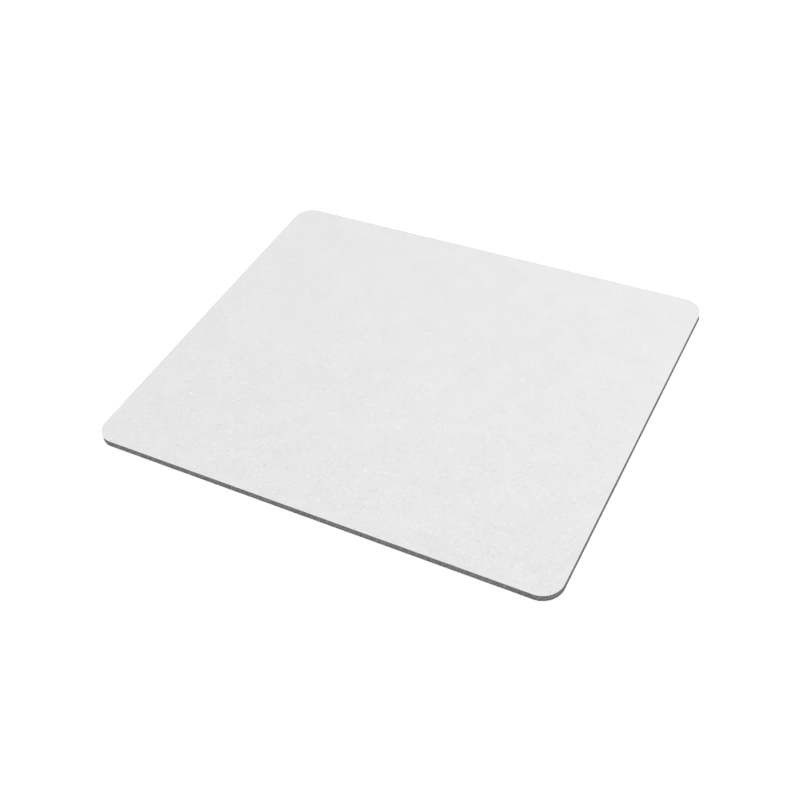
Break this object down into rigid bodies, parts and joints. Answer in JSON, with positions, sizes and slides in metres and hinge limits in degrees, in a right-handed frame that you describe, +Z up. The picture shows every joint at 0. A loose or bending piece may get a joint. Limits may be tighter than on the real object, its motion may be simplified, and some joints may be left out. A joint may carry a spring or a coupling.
{
  "type": "mouse pad",
  "caption": "Flat rectangular mouse pad with rounded corners: a smooth white cloth face bonded to a grey non-slip foam rubber base.",
  "frame": {"origin": "middle of the underside, on the surface that the pad lies on", "axes": "+X along the longer side to the user's right, +Y along the shorter side away from the user, +Z up out of the cloth face"},
  "size_m": [0.24, 0.2, 0.004],
  "materials": {
    "polyester_cloth": "matte",
    "hot_melt_film": "satin",
    "foam_rubber": "matte"
  },
  "bodies": {
    "root": {"cloth_face": "polyester_cloth", "bonding_film": "hot_melt_film", "foam_rubber_base": "foam_rubber"}
  },
  "joints": []
}
